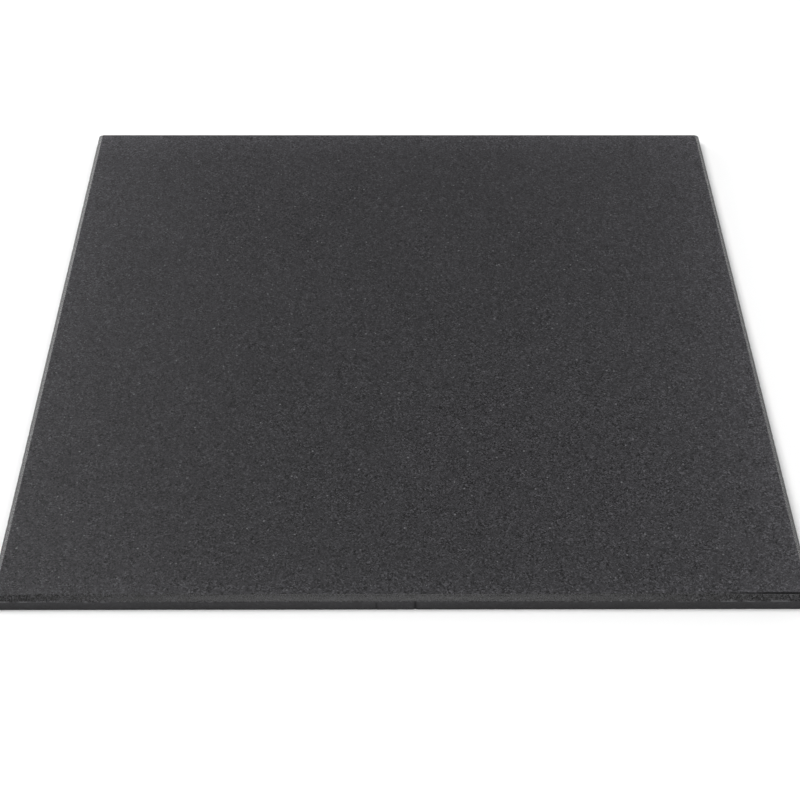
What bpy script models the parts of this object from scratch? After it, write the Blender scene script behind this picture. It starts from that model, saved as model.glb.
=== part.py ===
# A leatherworker's granite slab: one thin square plate of near-black stone, honed on top,
# with a flat chamfer ground round its top edge. It rests on its sawn underside.
# Metres, +Z up. The origin is the middle of the underside, and -Y is the edge nearest the user.

import bpy
import bmesh

# Driving dimensions
SLAB_WIDTH = 0.3048  # along X
SLAB_DEPTH = 0.3048  # along Y
SLAB_THICKNESS = 0.0065  # along Z
CHAMFER_WIDTH = 0.0023  # how far the chamfer reaches in from the side
CHAMFER_DROP = 0.0020  # how far it comes down from the top

# Sharp edges taken off the stone, as distances back from each edge
CORNER_EASING = 0.0012  # upright edges at the four corners
MITRE_EASING = 0.0005  # where two chamfers meet
ARRIS_EASING = 0.00025  # both long edges of each chamfer
BASE_EASING = 0.0004  # round the underside
EASING_SEGMENTS = 4

STONE_COLOUR = (0.045, 0.045, 0.048, 1.0)
STONE_ROUGHNESS = 0.55


def clear_scene():
    for old in list(bpy.data.objects):
        bpy.data.objects.remove(old, do_unlink=True)


def make_collection(name):
    collection = bpy.data.collections.new(name)
    bpy.context.scene.collection.children.link(collection)
    return collection


def make_material(name, colour, roughness, metallic):
    material = bpy.data.materials.new(name)
    material.use_nodes = True
    shader = material.node_tree.nodes["Principled BSDF"]
    shader.inputs["Base Color"].default_value = colour
    shader.inputs["Roughness"].default_value = roughness
    shader.inputs["Metallic"].default_value = metallic
    return material


def chamfered_plate():
    """A box for the sawn sides, with its top face drawn in and raised to leave the chamfer round it."""
    side_height = SLAB_THICKNESS - CHAMFER_DROP
    plate = bmesh.new()
    bmesh.ops.create_cube(plate, size=1.0)
    bmesh.ops.scale(plate, vec=(SLAB_WIDTH, SLAB_DEPTH, side_height), verts=plate.verts)
    bmesh.ops.translate(plate, vec=(0.0, 0.0, side_height / 2), verts=plate.verts)
    top = max(plate.faces, key=lambda face: face.calc_center_median().z)
    bmesh.ops.inset_region(
        plate, faces=[top], thickness=CHAMFER_WIDTH, depth=CHAMFER_DROP, use_even_offset=True
    )
    return plate


def easing_of(edge):
    """How far back from this edge of the plate the stone is taken off."""
    low, high = sorted(vert.co.z for vert in edge.verts)
    level = high - low < CHAMFER_DROP / 2
    on_underside = low < CHAMFER_DROP / 2
    if level:
        return BASE_EASING if on_underside else ARRIS_EASING
    return CORNER_EASING if on_underside else MITRE_EASING


def ease_edges(plate, slab):
    """Gives each edge its own share of one Bevel, which rounds them all together."""
    widest = max(CORNER_EASING, MITRE_EASING, ARRIS_EASING, BASE_EASING)
    weights = plate.edges.layers.float.new("bevel_weight_edge")
    for edge in plate.edges:
        edge[weights] = easing_of(edge) / widest
    bevel = slab.modifiers.new("eased_edges", "BEVEL")
    bevel.limit_method = "WEIGHT"
    bevel.offset_type = "OFFSET"
    bevel.width = widest
    bevel.segments = EASING_SEGMENTS


def build_slab(collection):
    mesh = bpy.data.meshes.new("granite_slab")
    slab = bpy.data.objects.new("granite_slab", mesh)
    plate = chamfered_plate()
    ease_edges(plate, slab)
    plate.to_mesh(mesh)
    plate.free()
    collection.objects.link(slab)
    mesh.materials.append(make_material("black_granite", STONE_COLOUR, STONE_ROUGHNESS, 0.0))
    return slab


clear_scene()
build_slab(make_collection("granite_slab"))
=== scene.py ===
import bpy
import numpy as np
from mathutils import Euler, Matrix, Vector


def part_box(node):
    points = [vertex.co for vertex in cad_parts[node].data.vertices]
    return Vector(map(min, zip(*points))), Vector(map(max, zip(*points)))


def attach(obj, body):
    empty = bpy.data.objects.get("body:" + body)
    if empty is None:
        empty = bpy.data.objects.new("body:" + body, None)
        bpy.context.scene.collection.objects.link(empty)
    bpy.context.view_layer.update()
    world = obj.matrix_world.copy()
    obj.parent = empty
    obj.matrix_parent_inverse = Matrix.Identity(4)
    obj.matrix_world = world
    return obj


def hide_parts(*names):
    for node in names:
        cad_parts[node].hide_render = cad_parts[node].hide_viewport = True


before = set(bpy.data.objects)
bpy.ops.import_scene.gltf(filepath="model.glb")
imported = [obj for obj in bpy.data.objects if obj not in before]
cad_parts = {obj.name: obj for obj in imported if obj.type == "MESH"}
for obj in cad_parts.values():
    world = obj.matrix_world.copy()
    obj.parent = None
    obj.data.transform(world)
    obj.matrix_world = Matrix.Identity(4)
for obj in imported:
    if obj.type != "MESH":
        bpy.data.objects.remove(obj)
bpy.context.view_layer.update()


# Camera, floor and lamps. Lengths are in metres, angles in degrees and powers in watts.
cameraSetup = {
    "place": (-0.0032, -0.5268, 0.4596),
    "downTilt": 43.29,
    "turn": -0.35,
    "roll": 0.20,
    "lens": 71.28,
    "sensor": 36.0,
    "nearest": 0.01,
}

floorSetup = {"side": 1.4, "drop": 0.00004, "colour": (0.9, 0.9, 0.9), "roughness": 0.9}

# Each lamp is a flat soft panel: where it hangs, the point it faces, its two sides and its power.
lampSetup = {
    "highLeft": {"place": (-0.85, 0.05, 1.45), "aim": (0, 0, 0), "size": (0.9, 0.9), "power": 19.5},
    "highRight": {"place": (0.9, -0.3, 1.4), "aim": (0, 0, 0), "size": (1.0, 1.0), "power": 11.0},
    "lowLeft": {"place": (-1.20, 0.70, 0.32), "aim": (0, 0, 0), "size": (1.3, 0.6), "power": 11.5},
    "lowRight": {"place": (1.25, 0.60, 0.32), "aim": (0, 0, 0), "size": (1.2, 0.5), "power": 5.0},
    "overShoulder": {"place": (-0.01, -1.05, 0.92), "aim": (0, -0.15, 0), "size": (0.64, 0.30), "power": 2.0},
}

# The room round the slab is pale up to a little above the horizon and dim overhead. Heights are sines.
roomGlow = {"low": 0.95, "high": 0.15, "from": 0.12, "to": 0.34}


def makeCamera(setup):
    data = bpy.data.cameras.new("camera")
    data.lens = setup["lens"]
    data.sensor_width = setup["sensor"]
    data.clip_start = setup["nearest"]
    camera = bpy.data.objects.new("camera", data)
    bpy.context.scene.collection.objects.link(camera)
    aim = Euler((np.radians(90 - setup["downTilt"]), 0, np.radians(setup["turn"]))).to_matrix()
    roll = Matrix.Rotation(np.radians(setup["roll"]), 3, "Z")
    camera.matrix_world = Matrix.Translation(setup["place"]) @ (aim @ roll).to_4x4()
    bpy.context.scene.camera = camera


def makeLamp(name, setup):
    data = bpy.data.lights.new(name, "AREA")
    data.shape = "RECTANGLE"
    data.size, data.size_y = setup["size"]
    data.energy = setup["power"]
    lamp = bpy.data.objects.new(name, data)
    lamp.visible_camera = False
    bpy.context.scene.collection.objects.link(lamp)
    lamp.location = setup["place"]
    lamp.rotation_euler = (Vector(setup["aim"]) - lamp.location).to_track_quat("-Z", "Y").to_euler()


def makeRoom(setup):
    room = bpy.data.worlds.new("room")
    room.use_nodes = True
    tree = room.node_tree
    direction = tree.nodes.new("ShaderNodeTexCoord")
    parts = tree.nodes.new("ShaderNodeSeparateXYZ")
    fade = tree.nodes.new("ShaderNodeMapRange")
    fade.interpolation_type = "SMOOTHSTEP"
    fade.inputs["From Min"].default_value = setup["from"]
    fade.inputs["From Max"].default_value = setup["to"]
    fade.inputs["To Min"].default_value = setup["low"]
    fade.inputs["To Max"].default_value = setup["high"]
    background = tree.nodes["Background"]
    background.inputs["Color"].default_value = (1, 1, 1, 1)
    tree.links.new(direction.outputs["Generated"], parts.inputs[0])
    tree.links.new(parts.outputs["Z"], fade.inputs["Value"])
    tree.links.new(fade.outputs["Result"], background.inputs["Strength"])
    bpy.context.scene.world = room


def makeFloor(setup):
    half = setup["side"] / 2
    corners = [(-half, -half), (half, -half), (half, half), (-half, half)]
    mesh = bpy.data.meshes.new("floor")
    mesh.from_pydata([(x, y, -setup["drop"]) for x, y in corners], [], [(0, 1, 2, 3)])
    floor = bpy.data.objects.new("floor", mesh)
    bpy.context.scene.collection.objects.link(floor)
    material = bpy.data.materials.new("palePaper")
    material.use_nodes = True
    shader = material.node_tree.nodes["Principled BSDF"]
    shader.inputs["Base Color"].default_value = (*setup["colour"], 1)
    shader.inputs["Roughness"].default_value = setup["roughness"]
    shader.inputs["Specular IOR Level"].default_value = 0.0
    mesh.materials.append(material)


makeCamera(cameraSetup)
makeFloor(floorSetup)
makeRoom(roomGlow)
for lampName, setup in lampSetup.items():
    makeLamp(lampName, setup)
bpy.context.scene.view_settings.view_transform = "Standard"
print("camera, floor and", len(lampSetup), "lamps are up")


# The stone. Scales are crystals per metre, and tones are shares of each finish's own tone.
stone = {
    "coarse": 1900.0,
    "coarseTones": [(0.0, -0.75), (0.22, -0.35), (0.55, -0.02), (0.80, 0.30), (0.93, 0.75), (1.0, 1.30)],
    "fine": 4200.0,
    "fineShare": 0.80,
    "bendScale": 700.0,
    "bend": 0.0006,  # how far noise pushes the crystals' edges about
    "clusterScale": 140.0,
    "clusterShare": 0.7,  # 0 spreads the speckle evenly
    "cloudScale": 22.0,
    "fleckScale": 290.0,
    "fleckSize": 0.13,  # of the gap between flecks
    "fleckTone": (0.10, 0.10, 0.105, 1),
    "tint": (1.005, 0.985, 1.08),
    "sheenShare": 0.06,  # how much rougher the pale crystals are
    "streakScale": (45.0, 45.0, 2600.0),
    "bruiseTone": (0.16, 0.16, 0.165, 1),
    # Painted shade: a near-black tone laid into the cutter slip, the nicks and the hollows.
    "paintedRecessShadeTone": (0.002, 0.002, 0.0021, 1),
    "paintedRecessShadeRoughness": 0.6,  # added where the painted recess shade is thickest
    # Painted shade: the sawn sides are made darker towards their foot, standing in for the shadow near the
    # floor.
    "paintedFootShade": 0.42,
    "footHeight": 0.0045,
}

# How each face was finished. Tone is the stone's grey there, contrast how strongly its crystals differ and
# clouds how strongly slow patches do. Streaks are fine saw lines along the face.
finishes = {
    "honedTop": {
        "tone": 0.0225, "contrast": 1.02, "clouds": 0.20, "flecks": True,
        "roughness": 0.52, "gloss": 0.25, "bump": 0.00002, "streaks": 0.0,
    },
    "groundChamfer": {
        "tone": 0.017, "contrast": 1.7, "clouds": 0.30, "flecks": True,
        "roughness": 0.27, "gloss": 0.50, "bump": 0.00008, "streaks": 0.0,
    },
    "sawnSide": {
        "tone": 0.0262, "contrast": 0.5, "clouds": 0.90, "flecks": False,
        "roughness": 0.60, "gloss": 0.28, "bump": 0.00003, "streaks": 0.25,
    },
    "sawnUnderside": {
        "tone": 0.034, "contrast": 0.7, "clouds": 0.40, "flecks": False,
        "roughness": 0.75, "gloss": 0.25, "bump": 0.00004, "streaks": 0.0,
    },
}

# Painted sheen: the honed face is darkest in the middle and paler towards each edge, standing in for light
# and sheen from the lamps.
# Each band has how far it reaches in and how much it adds. More of it lies at the back by towardsBack.
paintedEdgeSheen = {
    "left": {"bands": [(0.050, 0.31), (0.008, 0.18)], "towardsBack": 0.60},
    "right": {"bands": [(0.050, 0.60), (0.008, 0.28)], "towardsBack": 0.0},
    "front": {"bands": [(0.008, 0.34)], "towardsBack": 0.0},
    "back": {"bands": [(0.050, 0.15), (0.008, 0.90)], "towardsBack": 0.0},
}


def makeNode(tree, kind, inputs=None, **settings):
    node = tree.nodes.new("ShaderNode" + kind)
    for name, value in settings.items():
        setattr(node, name, value)
    for name, value in (inputs or {}).items():
        if isinstance(value, bpy.types.NodeSocket):
            tree.links.new(value, node.inputs[name])
        else:
            node.inputs[name].default_value = value
    return node


def calc(tree, operation, first, second=0.0, third=0.0):
    return makeNode(tree, "Math", {0: first, 1: second, 2: third}, operation=operation).outputs[0]


def vectorCalc(tree, operation, first, second):
    return makeNode(tree, "VectorMath", {0: first, 1: second}, operation=operation).outputs[0]


def blendColour(tree, share, first, second):
    mix = makeNode(tree, "Mix", {0: share, 6: first, 7: second}, data_type="RGBA")
    return mix.outputs[2]


def crystals(tree, place, scale, channel):
    # One random number from 0 to 1 for each crystal.
    cells = makeNode(tree, "TexVoronoi", {"Vector": place, "Scale": scale})
    return makeNode(tree, "SeparateColor", {"Color": cells.outputs["Color"]}).outputs[channel]


def toneRamp(tree, share, stops):
    # A colour ramp holds no numbers below 0, so the tones go through it moved up by their lowest.
    lowest = min(tone for at, tone in stops)
    ramp = makeNode(tree, "ValToRGB", {"Fac": share})
    elements = ramp.color_ramp.elements
    while len(elements) < len(stops):
        elements.new(0.5)
    for element, (at, tone) in zip(elements, stops):
        element.position = at
        element.color = (tone - lowest, tone - lowest, tone - lowest, 1)
    return calc(tree, "ADD", ramp.outputs["Color"], lowest)


def graniteTone(tree, place, finish):
    # 1, plus a coarse and a fine layer of crystals, stronger in clusters, and slow clouds, each centred on 0.
    noise = makeNode(tree, "TexNoise", {"Vector": place, "Scale": stone["bendScale"], "Detail": 2.0})
    centred = vectorCalc(tree, "SUBTRACT", noise.outputs["Color"], (0.5, 0.5, 0.5))
    bend = vectorCalc(tree, "MULTIPLY", centred, (stone["bend"],) * 3)
    bent = vectorCalc(tree, "ADD", place, bend)
    coarse = toneRamp(tree, crystals(tree, bent, stone["coarse"], "Red"), stone["coarseTones"])
    fine = calc(tree, "SUBTRACT", crystals(tree, bent, stone["fine"], "Red"), 0.5)
    speckle = calc(tree, "MULTIPLY_ADD", fine, stone["fineShare"], coarse)
    clusters = makeNode(tree, "TexNoise", {"Vector": place, "Scale": stone["clusterScale"], "Detail": 1.0})
    share = stone["clusterShare"]
    crowd = calc(tree, "MULTIPLY_ADD", clusters.outputs["Fac"], 2 * share, 1 - share)
    speckle = calc(tree, "MULTIPLY", speckle, crowd)
    clouds = makeNode(tree, "TexNoise", {"Vector": place, "Scale": stone["cloudScale"], "Detail": 3.0})
    cloud = calc(tree, "SUBTRACT", clouds.outputs["Fac"], 0.5)
    tone = calc(tree, "MULTIPLY_ADD", speckle, finish["contrast"], 1.0)
    return calc(tree, "MULTIPLY_ADD", cloud, finish["clouds"], tone)


def fleckMask(tree, place):
    # Round flecks, each a random share of the largest size.
    cells = makeNode(tree, "TexVoronoi", {"Vector": place, "Scale": stone["fleckScale"]})
    pick = makeNode(tree, "SeparateColor", {"Color": cells.outputs["Color"]}).outputs["Green"]
    size = calc(tree, "MULTIPLY", pick, stone["fleckSize"])
    return calc(tree, "LESS_THAN", cells.outputs["Distance"], size)


def paintedSheenFactor(tree, place, half):
    # Painted light and sheen: 1 plus, for each band, its amount times e to the power of minus distance in
    # over reach.
    where = makeNode(tree, "SeparateXYZ", {"Vector": place})
    towardsBack = calc(tree, "DIVIDE", where.outputs["Y"], half.y)
    facing = {
        "left": ("X", -1, half.x), "right": ("X", 1, half.x),
        "front": ("Y", -1, half.y), "back": ("Y", 1, half.y),
    }
    total = 1.0
    for name, edge in paintedEdgeSheen.items():
        axis, sign, edgeAt = facing[name]
        outward = calc(tree, "MULTIPLY_ADD", where.outputs[axis], sign, -edgeAt)
        lean = calc(tree, "MULTIPLY_ADD", towardsBack, edge["towardsBack"], 1.0)
        for reach, amount in edge["bands"]:
            fall = calc(tree, "EXPONENT", calc(tree, "DIVIDE", outward, reach))
            leaning = calc(tree, "MULTIPLY", fall, lean)
            total = calc(tree, "MULTIPLY_ADD", leaning, amount, total)
    return total


def paintedFootDarkness(tree, place):
    # Painted shade: rises evenly from 1 less the foot's shade at the underside to 1 at the foot's height.
    height = makeNode(tree, "SeparateXYZ", {"Vector": place}).outputs["Z"]
    darkest = 1 - stone["paintedFootShade"]
    rise = {"Value": height, "From Max": stone["footHeight"], "To Min": darkest, "To Max": 1.0}
    return makeNode(tree, "MapRange", rise).outputs["Result"]


def sawStreaks(tree, place, share):
    # From 0 to twice the share, in noise stretched along the face.
    stretched = vectorCalc(tree, "MULTIPLY", place, stone["streakScale"])
    streak = makeNode(tree, "TexNoise", {"Vector": stretched, "Scale": 1.0, "Detail": 2.0})
    return calc(tree, "MULTIPLY", streak.outputs["Fac"], 2 * share)


def stoneMaterial(name, finish, half):
    material = bpy.data.materials.new(name)
    material.use_nodes = True
    tree = material.node_tree
    shader = tree.nodes["Principled BSDF"]
    place = makeNode(tree, "TexCoord").outputs["Object"]
    relief = graniteTone(tree, place, finish)
    tone = calc(tree, "MULTIPLY", relief, finish["tone"])
    if name == "honedTop":
        # Painted sheen makes the honed top paler towards its edges.
        tone = calc(tree, "MULTIPLY", tone, paintedSheenFactor(tree, place, half))
    if name == "sawnSide":
        # Painted shade darkens the sawn sides towards their foot.
        tone = calc(tree, "MULTIPLY", tone, paintedFootDarkness(tree, place))
    if finish["streaks"]:
        streaks = sawStreaks(tree, place, finish["streaks"])
        relief = calc(tree, "ADD", relief, streaks)
        tone = calc(tree, "MULTIPLY", tone, calc(tree, "ADD", streaks, 1 - finish["streaks"]))
    grey = makeNode(tree, "CombineColor", {"Red": tone, "Green": tone, "Blue": tone}).outputs[0]
    colour = vectorCalc(tree, "MULTIPLY", grey, stone["tint"])
    if finish["flecks"]:
        colour = blendColour(tree, fleckMask(tree, place), colour, stone["fleckTone"])
    bruise = makeNode(tree, "Attribute", attribute_name="bruise").outputs["Fac"]
    colour = blendColour(tree, bruise, colour, stone["bruiseTone"])
    # Painted shade: the recesses are darkened towards black.
    paintedRecessShade = makeNode(tree, "Attribute", attribute_name="paintedRecessShade").outputs["Fac"]
    colour = blendColour(tree, paintedRecessShade, colour, stone["paintedRecessShadeTone"])
    tree.links.new(colour, shader.inputs["Base Color"])
    smoothest = finish["roughness"] - stone["sheenShare"]
    sheen = calc(tree, "MULTIPLY_ADD", relief, stone["sheenShare"], smoothest)
    roughness = calc(tree, "MULTIPLY_ADD", paintedRecessShade, stone["paintedRecessShadeRoughness"], sheen)
    tree.links.new(roughness, shader.inputs["Roughness"])
    shader.inputs["Specular IOR Level"].default_value = finish["gloss"]
    bump = makeNode(tree, "Bump", {"Height": relief, "Distance": finish["bump"], "Strength": 1.0})
    tree.links.new(bump.outputs["Normal"], shader.inputs["Normal"])
    return material


# The slab's shape and wear, in metres.
slab = {
    "chamferWidth": 0.0023,
    "chamferDrop": 0.0020,
    "chamferCrown": 0.00004,  # how far the chamfer bulges in the middle
    "cornerRadius": 0.0012,  # upright corners
    "mitreRadius": 0.0004,  # where two chamfers meet
    "topEasing": 0.00016,
    "lowerEasing": 0.00028,
    "baseEasing": 0.00030,
    # Rings, from the middle of the top face out to the side and back in along the underside.
    "innerRings": (0.35, 0.7),  # shares of the way from the middle to the outer rings
    "topInsets": (0.012, 0.005, 0.0020, 0.0011, 0.00075, 0.00055, 0.00040, 0.00026, 0.00013),
    "baseInsets": (0.0006, 0.002, 0.01),
    "arrisSteps": 5,
    "chamferSteps": 12,
    "sideSteps": 7,
    "cornerSteps": 10,
    "stepLength": 0.00063,  # along each side
    # Flakes off each arris: how many, ranges of half length, reach and depth, and how pale the deepest is.
    "flakes": {
        "topArris": {
            "count": 34, "length": (0.0004, 0.0010), "reach": (0.00012, 0.00028),
            "depth": (0.00003, 0.00010), "pale": 0.5,
        },
        "lowerArris": {
            "count": 120, "length": (0.0004, 0.0016), "reach": (0.0002, 0.0005),
            "depth": (0.00004, 0.00016), "pale": 0.5,
        },
        "baseArris": {
            "count": 70, "length": (0.0005, 0.0016), "reach": (0.0002, 0.0004),
            "depth": (0.00002, 0.00006), "pale": 0.1,
        },
    },
    "flakeSeed": 7,
    # Unevenness left by grinding and sawing: cell along, cell across and depth.
    "ripples": {
        "groundChamfer": [(0.0150, 0.0040, 0.00004), (0.0012, 0.0007, 0.00001)],
        "sawnSide": [(0.0110, 0.0030, 0.00005), (0.0016, 0.0020, 0.00002)],
    },
    "rippleSeed": 27,
    # The lower arris is rubbed pale for a way from each corner, in broken patches.
    "rubbing": {
        "reach": 0.046, "fade": 0.010, "width": 0.00020, "inset": 0.00008,
        "patch": 0.0032, "spread": (0.15, 0.85), "share": 0.62, "elsewhere": 0.12,
    },
    "rubbingSeed": 38,
    # A slip of the cutter along the front's top arris, which deepens to the right and runs out before the
    # corner. It went in halfway between square to the top and square to the chamfer.
    "cutterSlip": {
        "start": 0.104, "end": 0.148, "inset": 0.00014, "halfWidth": 0.00050, "depth": 0.00065, "paintedRecessShade": 1.0,
        "runOut": (0.1493, 0.1512), "way": (0, 0.35, -0.937),
    },
    # Two nicks down the front's sawn side. Each starts above the lower arris and is full depth below it.
    "nicks": [
        {"place": 0.0050, "halfLength": 0.00090, "depth": 0.00030, "paintedRecessShade": 0.60},
        {"place": -0.0093, "halfLength": 0.00045, "depth": 0.00016, "paintedRecessShade": 0.60},
    ],
    "nickWay": (0, 1, 0),
    "nickStart": 0.0004,
    "nickFull": 0.0006,
    # The wheel left a shallow hollow along the left and right chamfers, darkened with painted shade. Place is
    # a share of the way down the chamfer.
    "hollow": {
        "place": 0.64, "halfWidth": 0.00042, "leftDepth": 0.00008, "rightDepth": 0.00014,
        "paintedRecessShade": 0.60, "cornerFade": 0.012,
    },
}


def eased(before, corner, after, easing, steps):
    # Quadratic curve from one easing length before the corner to one after it.
    before, corner, after = (np.array(point, float) for point in (before, corner, after))
    start = corner + easing * (before - corner) / np.linalg.norm(before - corner)
    end = corner + easing * (after - corner) / np.linalg.norm(after - corner)
    t = np.linspace(0, 1, steps)[:, None]
    return (1 - t) ** 2 * start + 2 * t * (1 - t) * corner + t**2 * end


def run(start, end, steps, crown=0.0):
    # Evenly spaced points between two ends, bulging outwards by a parabola of height crown.
    t = np.linspace(0, 1, steps + 2)[1:-1, None]
    way = end - start
    aside = np.array([way[1], -way[0]]) / np.linalg.norm(way)
    return start + t * way + 4 * t * (1 - t) * crown * aside


def slabProfile(thickness):
    # Inset from the side and height above the base, from the top face round to the underside.
    topArris = (slab["chamferWidth"], thickness)
    lowerArris = (0.0, thickness - slab["chamferDrop"])
    baseArris = (0.0, 0.0)
    inTop = (1.0, thickness)
    inBase = (1.0, 0.0)
    steps = slab["arrisSteps"]
    first = eased(inTop, topArris, lowerArris, slab["topEasing"], steps)
    second = eased(topArris, lowerArris, baseArris, slab["lowerEasing"], steps)
    third = eased(lowerArris, baseArris, inBase, slab["baseEasing"], steps)
    topInsets = first[0, 0] + np.array(slab["topInsets"])
    baseInsets = third[-1, 0] + np.array(slab["baseInsets"])
    return {
        "honedTop": np.stack([topInsets, np.full(len(topInsets), thickness)], 1),
        "topArris": first,
        "groundChamfer": run(first[-1], second[0], slab["chamferSteps"], slab["chamferCrown"]),
        "lowerArris": second,
        "sawnSide": run(second[-1], third[0], slab["sideSteps"]),
        "baseArris": third,
        "sawnUnderside": np.stack([baseInsets, np.zeros(len(baseInsets))], 1),
    }


def walkRound(half):
    # The way round the slab, anticlockwise from the back right corner: for each point its corner, the next
    # corner, its angle on the corner's arc and its share of the straight side that follows.
    corner, angle, share = [], [], []
    for index, length in enumerate((2 * half.x, 2 * half.y, 2 * half.x, 2 * half.y)):
        arc = index * np.pi / 2 + np.linspace(0, np.pi / 2, slab["cornerSteps"])
        steps = int(round((length - 2 * slab["cornerRadius"]) / slab["stepLength"]))
        side = np.linspace(0, 1, steps + 1)[1:-1]
        corner.append(np.full(len(arc) + len(side), index))
        angle.append(np.concatenate([arc, np.full(len(side), arc[-1])]))
        share.append(np.concatenate([np.zeros(len(arc)), side]))
    corner = np.concatenate(corner)
    return {
        "corner": corner,
        "next": (corner + 1) % 4,
        "angle": np.concatenate(angle),
        "share": np.concatenate(share),
        "signs": np.array([(1, 1), (-1, 1), (-1, -1), (1, -1)], float),
    }


def ringPoints(half, inset, radius, walk):
    # Each point lies on a corner's arc, or a share of the way along the straight side to the next arc.
    def onArc(corner):
        reach = np.stack([half.x - inset - radius, half.y - inset - radius], -1)
        turn = np.stack([np.cos(walk["angle"]), np.sin(walk["angle"])], -1)
        return walk["signs"][corner] * reach + radius[..., None] * turn

    share = walk["share"][:, None]
    return (1 - share) * onArc(walk["corner"]) + share * onArc(walk["next"])


def patchyNoise(along, across, around, cellAlong, cellAcross, seed):
    # Random heights from 0 to 1 on a lattice that closes on itself round the slab, smoothly blended between.
    rng = np.random.default_rng(seed)
    columns = max(4, int(round(around / cellAlong)))
    rows = int(np.ceil(across.max() / cellAcross)) + 3
    lattice = rng.random((rows, columns))
    u = along / around * columns
    v = across / cellAcross
    i, j = np.floor(u).astype(int), np.floor(v).astype(int)
    fu, fv = (f * f * (3 - 2 * f) for f in (u - i, v - j))
    low = lattice[j, i % columns] * (1 - fu) + lattice[j, (i + 1) % columns] * fu
    high = lattice[j + 1, i % columns] * (1 - fu) + lattice[j + 1, (i + 1) % columns] * fu
    return low * (1 - fv) + high * fv


def smoothRise(value, start, end):
    # 0 before start and 1 after end, with the cubic 3t squared less 2t cubed between.
    t = np.clip((value - start) / (end - start), 0, 1)
    return t * t * (3 - 2 * t)


def groove(distance, halfWidth):
    # A rounded V: 1 on the line, falling to 0 at half a width either side.
    return smoothRise(halfWidth - np.abs(distance), 0, halfWidth)


def flakeDepth(along, across, around, arrisAt, setup, seed):
    # The deepest of many shallow bowls, each a paraboloid centred on the arris.
    rng = np.random.default_rng(seed)
    depth = np.zeros(np.broadcast(along, across).shape)
    for _ in range(setup["count"]):
        centre = rng.uniform(0, around)
        length, reach, deep = (rng.uniform(*setup[key]) for key in ("length", "reach", "depth"))
        gap = (along - centre + around / 2) % around - around / 2
        bowl = 1 - (gap / length) ** 2 - ((across - arrisAt) / reach) ** 2
        depth = np.maximum(depth, deep * np.clip(bowl, 0, None))
    return depth


def wearSlab(profile, starts, side, half, along, across, around):
    # How deep the stone has gone at each point of the rings, how far cuts have moved the point, how bruised
    # it is there and how much painted shade darkens it. Each cut goes straight in, because walls that
    # followed the normals of a bent surface would cross.
    flakes, rubbing, slip, hollow = slab["flakes"], slab["rubbing"], slab["cutterSlip"], slab["hollow"]
    middles = {name: across[starts[name] + len(profile[name]) // 2, 0] for name in flakes}
    rows = {name: slice(starts[name], starts[name] + len(part)) for name, part in profile.items()}
    depth = np.zeros(np.broadcast(along, across).shape)
    cuts = np.zeros((*depth.shape, 3))
    bruise = np.zeros_like(depth)
    paintedRecessShade = np.zeros_like(depth)

    for number, (name, setup) in enumerate(flakes.items()):
        flaked = flakeDepth(along, across, around, middles[name], setup, slab["flakeSeed"] + number)
        depth = np.maximum(depth, flaked)
        bruise = np.maximum(bruise, setup["pale"] * flaked / setup["depth"][1])

    for name, layers in slab["ripples"].items():
        for number, (cellAlong, cellAcross, deep) in enumerate(layers):
            bumps = patchyNoise(along, across, around, cellAlong, cellAcross, slab["rippleSeed"] + number)
            depth[rows[name]] += deep * bumps[rows[name]]

    # Distance along each side from its nearer corner, and which sides the points are on.
    fromCorner = np.hypot(half.x - np.abs(side[:, 0]), half.y - np.abs(side[:, 1]))
    onFront = side[:, 1] < -half.y + slab["cornerRadius"]
    onEnds = np.abs(side[:, 0]) > half.x - slab["cornerRadius"]

    fadeEnds = rubbing["reach"] - rubbing["fade"], rubbing["reach"] + rubbing["fade"]
    nearCorner = 1 - smoothRise(fromCorner, *fadeEnds)
    patches = patchyNoise(along, 0 * across, around, rubbing["patch"], 1.0, slab["rubbingSeed"])
    everywhere = rubbing["elsewhere"] + (1 - rubbing["elsewhere"]) * nearCorner
    rubbed = smoothRise(patches, *rubbing["spread"]) * everywhere
    band = np.exp(-(((across - middles["lowerArris"] + rubbing["inset"]) / rubbing["width"]) ** 2))
    bruise = np.maximum(bruise, rubbing["share"] * rubbed * band)

    slipped = onFront * smoothRise(side[:, 0], slip["start"], slip["end"])
    slipped = slipped * (1 - smoothRise(side[:, 0], *slip["runOut"]))
    cut = slipped * groove(across - middles["topArris"] + slip["inset"], slip["halfWidth"])
    cuts += slip["depth"] * cut[..., None] * slip["way"]
    # Painted shade in the slip's groove, darkest where it is deepest.
    paintedRecessShade = np.maximum(paintedRecessShade, slip["paintedRecessShade"] * slipped * np.sqrt(cut))

    lower = middles["lowerArris"]
    down = smoothRise(across, lower - slab["nickStart"], lower + slab["nickFull"])
    down[rows["sawnUnderside"]] = 0
    for nick in slab["nicks"]:
        chipped = onFront * groove(side[:, 0] - nick["place"], nick["halfLength"]) * down
        cuts += nick["depth"] * chipped[..., None] * slab["nickWay"]
        # Painted shade in the nicks.
        paintedRecessShade = np.maximum(paintedRecessShade, nick["paintedRecessShade"] * chipped)

    lineAt = middles["topArris"] + hollow["place"] * (lower - middles["topArris"])
    line = onEnds * smoothRise(fromCorner, slab["chamferWidth"], hollow["cornerFade"])
    hollowed = line * groove(across - lineAt, hollow["halfWidth"])
    depth += np.where(side[:, 0] < 0, hollow["leftDepth"], hollow["rightDepth"]) * hollowed
    # Painted shade along the hollows.
    paintedRecessShade = np.maximum(paintedRecessShade, hollow["paintedRecessShade"] * hollowed)
    return depth, cuts, bruise, paintedRecessShade


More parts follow.
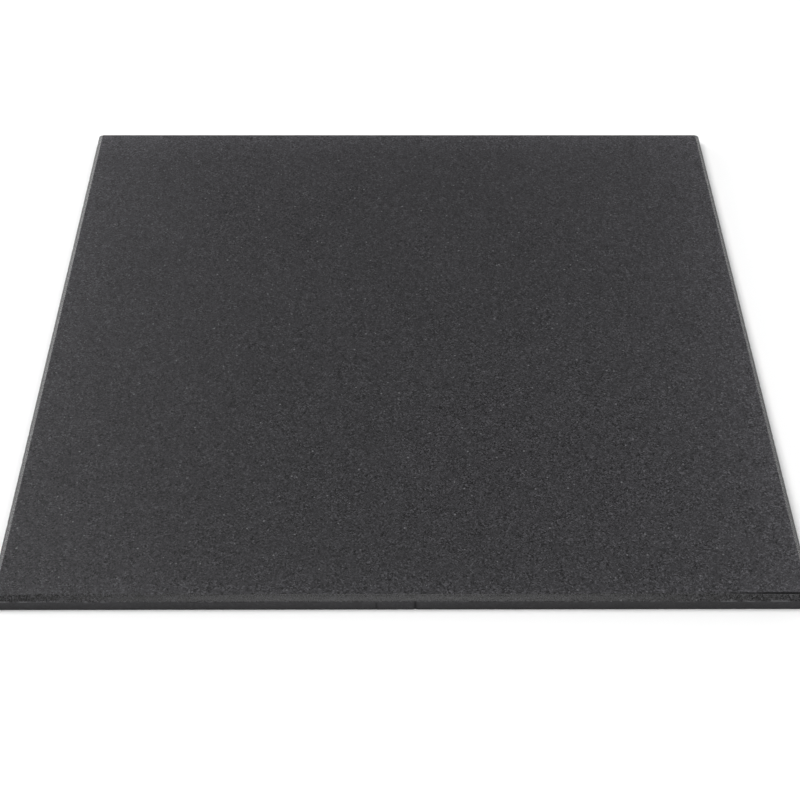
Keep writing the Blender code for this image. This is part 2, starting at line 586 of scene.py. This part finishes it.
def closedMesh(rings, topPole, basePole):
    # Quads between neighbouring rings, and a fan of triangles to a pole at each end.
    ringCount, stepCount = rings.shape[:2]
    grid = np.arange(ringCount * stepCount).reshape(ringCount, stepCount)
    beside = np.roll(grid, -1, 1)
    quads = np.stack([grid[:-1], grid[1:], beside[1:], beside[:-1]], -1).reshape(-1, 4)
    topFan = np.stack([np.full(stepCount, grid.size), grid[0], beside[0]], -1)
    baseFan = np.stack([np.full(stepCount, grid.size + 1), beside[-1], grid[-1]], -1)
    vertices = np.concatenate([rings.reshape(-1, 3), [topPole, basePole]])
    mesh = bpy.data.meshes.new("graniteSlab")
    mesh.from_pydata(vertices.tolist(), [], quads.tolist() + topFan.tolist() + baseFan.tolist())
    mesh.polygons.foreach_set("use_smooth", np.ones(len(mesh.polygons), bool))
    return mesh


def buildSlab():
    low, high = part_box("granite_slab")
    half = (high - low) / 2
    middle = (high + low) / 2
    profile = slabProfile(high.z - low.z)
    lengths = [len(part) for part in profile.values()]
    starts = dict(zip(profile, np.cumsum([0] + lengths[:-1])))
    outline = np.concatenate(list(profile.values()))
    inset, height = outline.T
    walk = walkRound(half)
    ringCount, stepCount = len(inset), len(walk["corner"])

    radius = np.maximum(slab["cornerRadius"] - inset, slab["mitreRadius"])[:, None] + np.zeros(stepCount)
    flat = ringPoints(half, inset[:, None] + np.zeros(stepCount), radius, walk)
    points = np.concatenate([flat, np.broadcast_to(height[:, None, None], (ringCount, stepCount, 1))], -1)

    # Distances along the side at full width, and across the profile from its first ring.
    side = flat[np.argmin(inset)]
    steps = np.linalg.norm(np.roll(side, -1, 0) - side, axis=1)
    around = steps.sum()
    along = (np.cumsum(steps) - steps)[None, :]
    across = np.concatenate([[0], np.cumsum(np.linalg.norm(np.diff(outline, axis=0), axis=1))])[:, None]

    # Outward direction of the profile at each ring: its tangent turned by a right angle.
    tangent = np.gradient(outline, axis=0)
    tangent /= np.linalg.norm(tangent, axis=1)[:, None]
    out, up = -tangent[:, 1], -tangent[:, 0]
    outward = np.stack([np.cos(walk["angle"]), np.sin(walk["angle"])], -1)
    upward = np.broadcast_to(up[:, None, None], (ringCount, stepCount, 1))
    normal = np.concatenate([out[:, None, None] * outward[None], upward], -1)

    depth, cuts, bruise, paintedRecessShade = wearSlab(profile, starts, side, half, along, across, around)
    points += cuts - normal * depth[..., None]
    points += (middle.x, middle.y, low.z)

    # The top face and the underside close on a point in the middle, with inner rings on the way.
    topPole = np.array([middle.x, middle.y, high.z])
    basePole = np.array([middle.x, middle.y, low.z])
    shares = np.array(slab["innerRings"])[:, None, None]
    topRings = topPole + (points[:1] - topPole) * shares
    baseRings = basePole + (points[-1:] - basePole) * shares[::-1]
    mesh = closedMesh(np.concatenate([topRings, points, baseRings]), topPole, basePole)

    # Each finish starts at the middle of an arris. The innermost rings and the fans belong to the flat faces.
    inner = len(shares)
    zone = np.zeros(ringCount + 2 * inner - 1, int)
    for number, arris in enumerate(("topArris", "lowerArris", "baseArris"), 1):
        zone[inner + starts[arris] + slab["arrisSteps"] // 2:] = number
    fans = np.repeat([0, zone[-1]], stepCount)
    zones = np.concatenate([np.repeat(zone, stepCount), fans])
    mesh.polygons.foreach_set("material_index", zones)
    flatRings = np.zeros((inner, stepCount))
    for name, wear in (("bruise", bruise), ("paintedRecessShade", paintedRecessShade)):
        values = np.concatenate([flatRings, wear, flatRings]).ravel()
        layer = mesh.attributes.new(name, "FLOAT", "POINT")
        layer.data.foreach_set("value", np.append(values, [0, 0]))
    for name, finish in finishes.items():
        mesh.materials.append(stoneMaterial(name, finish, half))
    mesh.update()

    piece = bpy.data.objects.new("graniteSlab", mesh)
    bpy.context.scene.collection.objects.link(piece)
    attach(piece, "root")
    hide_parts("granite_slab")
    print("slab built with", len(mesh.polygons), "faces in", ringCount + 2 * inner, "rings of", stepCount)


buildSlab()
